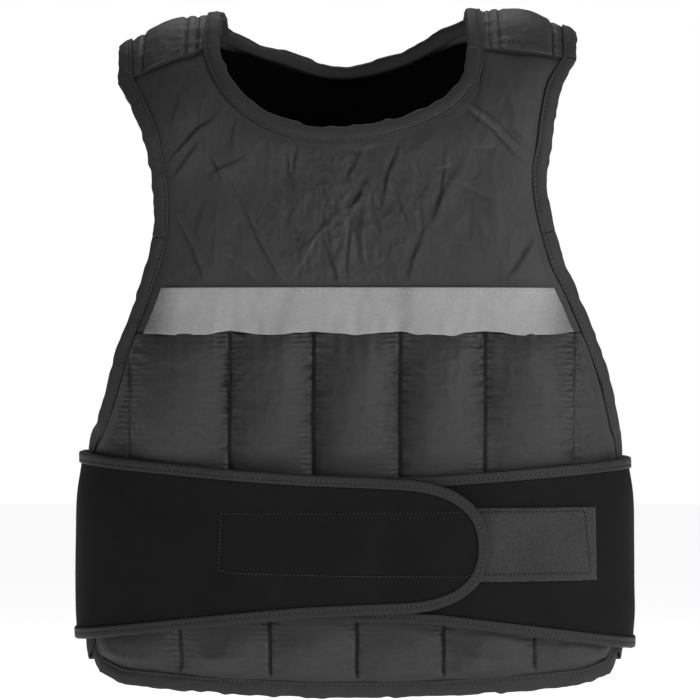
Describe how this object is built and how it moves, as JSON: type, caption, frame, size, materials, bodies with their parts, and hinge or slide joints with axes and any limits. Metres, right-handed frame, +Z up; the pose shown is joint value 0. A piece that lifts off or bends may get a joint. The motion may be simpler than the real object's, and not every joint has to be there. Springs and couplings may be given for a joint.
{
  "type": "weighted vest",
  "caption": "Padded pullover weighted vest with sewn weight channels, a reflective chest band and a wide wrap-over waist belt.",
  "frame": {"origin": "where the vest rests on the shoulders, midway between the two shoulder pads, at the height of their undersides", "axes": "+Z up, the front faces -Y, +X to the right as the front is seen"},
  "size_m": [0.427, 0.2447, 0.5164],
  "materials": {
    "shell_nylon": "matte woven nylon",
    "edge_tape": "matte woven tape",
    "belt_neoprene": "cloth-faced neoprene",
    "belt_tape": "ribbed elastic tape",
    "reflective_tape": "satin reflective cloth",
    "loop_tape": "fuzzy loop pile",
    "hook_tape": "hook tape",
    "lining_cloth": "thin matte cloth"
  },
  "bodies": {
    "root": {"front_chest": "shell_nylon", "front_pockets": "shell_nylon", "back_chest": "shell_nylon", "back_pockets": "shell_nylon", "back_lining": "lining_cloth", "shoulder_pad_left": "shell_nylon", "shoulder_pad_right": "shell_nylon", "neck_binding_front": "edge_tape", "neck_binding_back": "edge_tape", "armhole_binding_front_left": "edge_tape", "armhole_binding_front_right": "edge_tape", "armhole_binding_back_left": "edge_tape", "armhole_binding_back_right": "edge_tape", "hem_binding_front": "edge_tape", "hem_binding_back": "edge_tape", "pad_binding_neck_left": "edge_tape", "pad_binding_neck_right": "edge_tape", "pad_binding_arm_left": "edge_tape", "pad_binding_arm_right": "edge_tape", "reflective_strip": "reflective_tape", "belt_left": "belt_neoprene", "belt_right": "belt_neoprene", "belt_binding_left": "belt_tape", "belt_binding_right": "belt_tape", "loop_patch": "loop_tape", "hook_patch": "hook_tape"}
  },
  "joints": []
}
